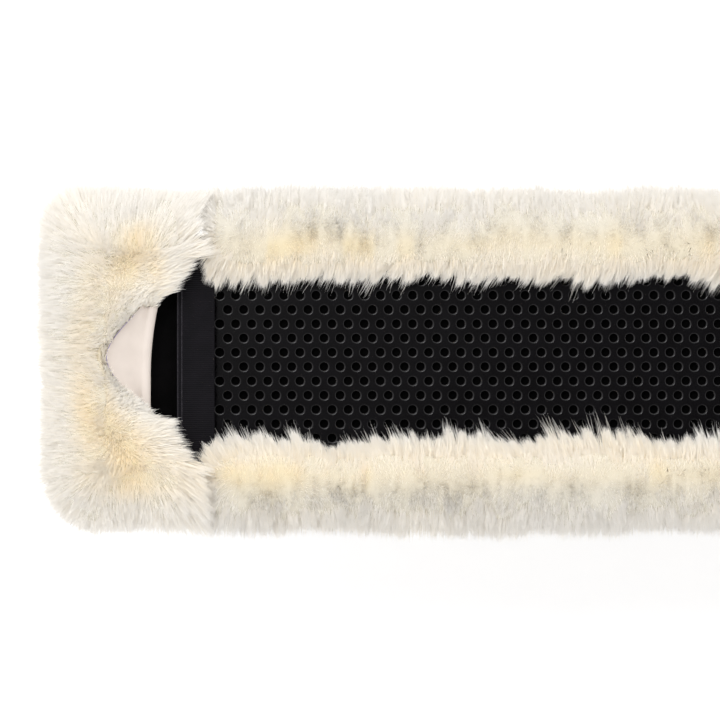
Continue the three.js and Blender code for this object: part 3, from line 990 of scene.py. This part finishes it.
def perforated(s, end):
    """Half of the liner, a sheet of cells with one round hole each. Odd rows are shifted half a cell, and
    even ones end in a plain half cell."""
    angles = np.arange(CELL_POINTS) * 2 * np.pi / CELL_POINTS + np.pi / 4
    square = points(np.cos(angles), np.sin(angles), 0)
    square /= np.abs(square[:, :2]).max(axis=1, keepdims=True)
    quarter = np.round(square[:, :2] * 2) / 2
    border = quarter * [HOLE_PITCH / 2, ROW_STEP / 2]
    toward = np.arctan2(border[:, 1], border[:, 0])
    circle = np.stack([np.cos(toward), np.sin(toward)], 1)
    rings = [
        (border, 0.0),
        (circle * (HOLE_R + 0.9) + PUNCH_LEAN, 0.0),
        (circle * (HOLE_R + 0.72) + PUNCH_LEAN, 0.0),
        (circle * (HOLE_R + 0.5) + PUNCH_LEAN, -0.05),
        (circle * (HOLE_R + 0.08), -0.4),
        (circle * HOLE_R, -0.9),
        (circle * HOLE_R, LINER_Z - BED_Z),
        (border, LINER_Z - BED_Z),
    ]
    cell = np.concatenate([points(r[:, 0], r[:, 1], z) for r, z in rings])
    n = CELL_POINTS
    index = np.arange(n)
    after = (index + 1) % n
    quads = np.concatenate(
        [
            np.stack([k * n + index, k * n + after, (k + 1) * n + after, (k + 1) * n + index], 1)
            for k in range(len(rings) - 1)
        ]
    )
    liner_end = s * HOLE_COLUMNS * HOLE_PITCH
    half_x = [liner_end, liner_end + s * HOLE_PITCH / 2]
    xx, yy = np.meshgrid(half_x, [-ROW_STEP / 2, ROW_STEP / 2], indexing="ij")
    half_cell, half_faces = shell_arrays(points(xx, yy, LINER_Z - BED_Z), points(xx, yy, 0))
    half_cell = half_cell[half_faces.ravel()]  # its faces share no corners, so that they shade flat
    half_faces = np.arange(len(half_cell)).reshape(-1, 4)
    vertices, faces = [], []
    for row in range(-HOLE_ROWS, HOLE_ROWS):
        even = row % 2 == 0
        first = 0 if even or s < 0 else 1
        place = np.array([0, (row + 0.5) * ROW_STEP + ROW_SHIFT, BED_Z])
        for column in range(first, HOLE_COLUMNS if even else HOLE_COLUMNS + 1):
            x = (column + (0.5 if even else 0.0)) * HOLE_PITCH
            vertices.append(cell + place + [s * x, 0, 0])
            faces.append(quads)
        if even:
            vertices.append(half_cell + place)
            faces.append(half_faces)
    starts = np.cumsum([0, *[len(v) for v in vertices]])
    faces = np.concatenate([part + start for part, start in zip(faces, starts)])
    vertices = np.concatenate(vertices)
    vertices[:, 2] += 0.25 * noise(vertices[:, 0], vertices[:, 1], 60, 3)
    obj = make_object(f"liner_{end}_half", vertices, faces, NEOPRENE)
    bend(obj, ends_of("liner", end))


def foam(s, end):
    xs = np.linspace(0, s * PANEL_END, 90)
    ys = np.linspace(-CORE_Y, CORE_Y, 12)
    xx, yy = np.meshgrid(xs, ys, indexing="ij")
    top = points(xx, yy, high("foam_core_centre")[2] + 0.1)
    obj = shell_object(f"foam_{end}_half", points(xx, yy, FOAM_Z), top, FOAM)
    bend(obj, ends_of("foam_core", end))


def end_panel(s, end):
    """Plain cloth from under the keeper into the pocket, hemmed at its inner edge."""
    near, far = low(f"end_panel_{end}"), high(f"end_panel_{end}")
    xs = np.linspace(near[0], far[0], 60)
    ys = np.linspace(near[1], far[1], 70)
    xx, yy = np.meshgrid(xs, ys, indexing="ij")
    from_inner = np.abs(xx) - ROLL_END
    hem = 0.9 * smooth(1 - np.abs(from_inner - 10) / 3)
    top = points(xx, yy, BED_Z - 0.2 + 0.2 * noise(xx, yy, 25, 9) - hem)
    obj = shell_object(f"panel_cloth_{end}", points(xx, yy, LINER_Z + 0.2), top, PANEL)
    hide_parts(f"end_panel_{end}")
    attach(obj, f"{end}_section")


# ---- elastic keepers ----
RIB_PITCH = 1.05
CORD_PLACES = (9.3, 7.2)  # raised cords in the band, outwards from its middle


def keeper(s, end):
    """The elastic band, in two halves that stay sewn at their outer ends."""
    near, far = low(f"keeper_band_{end}"), high(f"keeper_band_{end}")
    width = np.linspace(-1, 1, 41)
    for side, edge in SIDES:
        ys = np.linspace(0, far[1], int(far[1] / RIB_PITCH * 6)) * side
        ww, yy = np.meshgrid(width, ys, indexing="ij")
        inset = 0.35 * np.clip((np.abs(ww) - 0.94) / 0.06, 0, 1) ** 2
        ribs = 0.09 * np.cos(2 * np.pi * yy / RIB_PITCH)
        xx = (near[0] + far[0]) / 2 + ww * (far[0] - near[0]) / 2
        top = points(xx, yy, far[2] - 0.15 + ribs - inset)
        bottom = points(xx, yy, near[2] + 0.15 - ribs + inset)
        band = [shell_object(f"keeper_band_{edge}_{end}", bottom, top, ELASTIC)]
        for number, place in enumerate(CORD_PLACES, 1):
            cord_y = np.linspace(0, far[1] - 0.5, 60) * side
            path = points(s * (np.abs(far[0] + near[0]) / 2 + place), cord_y, far[2] - 0.12)
            # The cords are real raised ridges; their lighter colour is painted highlight.
            band.append(tube(f"keeper_cord_{number}_{edge}_{end}", path, 0.3, CORD_HIGHLIGHT))
        sewn, middle = (0, side * far[1] * MM, 0), (0, side * 6 * MM, 0)
        for piece in band:
            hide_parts(f"keeper_band_{end}")
            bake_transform(piece)
            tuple(sewn)
            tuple(middle)
        anchor(s, end, side, edge)


def anchor(s, end, side, edge):
    """The band's end, folded double and sewn down."""
    node = f"keeper_anchor_{edge}_{end}"
    near, far = low(node), high(node)
    mid = (near + far) / 2
    xs = np.linspace(near[0], far[0], 30)
    ys = np.linspace(near[1], far[1], 30)
    xx, yy = np.meshgrid(xs, ys, indexing="ij")
    edge_drop = 0.5 * (np.abs((yy - mid[1]) / (far[1] - near[1])) * 2) ** 8
    ribs = 0.08 * np.cos(2 * np.pi * yy / RIB_PITCH)
    top = points(xx, yy, far[2] - 0.1 + ribs - edge_drop)
    bottom = points(xx, yy, near[2] + edge_drop)
    obj = shell_object(f"keeper_end_{edge}_{end}", bottom, top, ELASTIC)
    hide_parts(node)
    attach(obj, f"{end}_section")


# ---- floor, lights, camera ----


def area_light(name, place, target, size, power):
    data = bpy.data.lights.new(name, "AREA")
    data.shape = "DISK"
    data.size = size
    data.energy = power
    light = bpy.data.objects.new(name, data)
    bpy.context.scene.collection.objects.link(light)
    light.location = place
    light.rotation_euler = (Vector(target) - Vector(place)).to_track_quat("-Z", "Y").to_euler()


FLOOR_DROP = 160  # the floor lies this far down, clear of the ends when the cover is bent
SKY = 1.68  # brightness of the white room, a little more from the front and right, dark straight above


def studio():
    scene = bpy.context.scene
    bpy.ops.mesh.primitive_plane_add(size=6, location=(0, 0, -FLOOR_DROP * MM))
    floor = bpy.context.object
    floor.name = "floor"
    floor.data.materials.append(two_tone("floor_white", 0.9, (242, 242, 243), (244, 244, 245), 3, 20, 0.0))
    world = bpy.data.worlds.new("studio")
    scene.world = world
    world.use_nodes = True
    tree = world.node_tree
    direction = tree.nodes.new("ShaderNodeTexCoord").outputs["Generated"]
    split = tree.nodes.new("ShaderNodeSeparateXYZ")
    tree.links.new(direction, split.inputs["Vector"])
    white, horizon, overhead = (255, 255, 255), (205, 206, 209), (10, 10, 11)
    sky = ramp(tree, [(0.0, horizon), (0.35, white), (0.9, white), (0.95, overhead)])
    tree.links.new(split.outputs["Z"], sky.inputs["Fac"])
    tree.links.new(sky.outputs["Color"], tree.nodes["Background"].inputs["Color"])
    toward = tree.nodes.new("ShaderNodeVectorMath")
    toward.operation = "DOT_PRODUCT"
    toward.inputs[1].default_value = (0.1, 0.13, 0)
    tree.links.new(direction, toward.inputs[0])
    strength = tree.nodes.new("ShaderNodeMath")
    strength.operation = "MULTIPLY_ADD"
    strength.inputs[1].default_value = SKY
    strength.inputs[2].default_value = SKY
    tree.links.new(toward.outputs["Value"], strength.inputs[0])
    tree.links.new(strength.outputs["Value"], tree.nodes["Background"].inputs["Strength"])
    area_light("key", (-0.55, 0.55, 1.6), (-0.1, 0, 0), 0.5, 9)
    scene.view_settings.view_transform = "Standard"
    scene.view_settings.look = "None"


LEFT_MARGIN = 0.0625  # share of the view's width that is left free beside the cover's left end
FIELD = 379  # width of the view at the height of the liner
CAMERA_HEIGHT = 2200


def camera():
    data = bpy.data.cameras.new("camera")
    data.sensor_width = 36
    data.lens = data.sensor_width * (CAMERA_HEIGHT - BED_Z) / FIELD
    cam = bpy.data.objects.new("camera", data)
    bpy.context.scene.collection.objects.link(cam)
    middle = -END_X + FIELD * (0.5 - LEFT_MARGIN)
    cam.location = (middle * MM, 0, CAMERA_HEIGHT * MM)
    bpy.context.scene.camera = cam


camera()
studio()
for s, end in ENDS:
    for side, edge in SIDES:
        edge_roll(side, edge, s, end)
    base_wool(s, end)
    pocket_wool(s, end)
    hide(s, end)
    pocket_hide(s, end)
    mouth_tab(s, end)
    perforated(s, end)
    foam(s, end)
    end_panel(s, end)
    keeper(s, end)
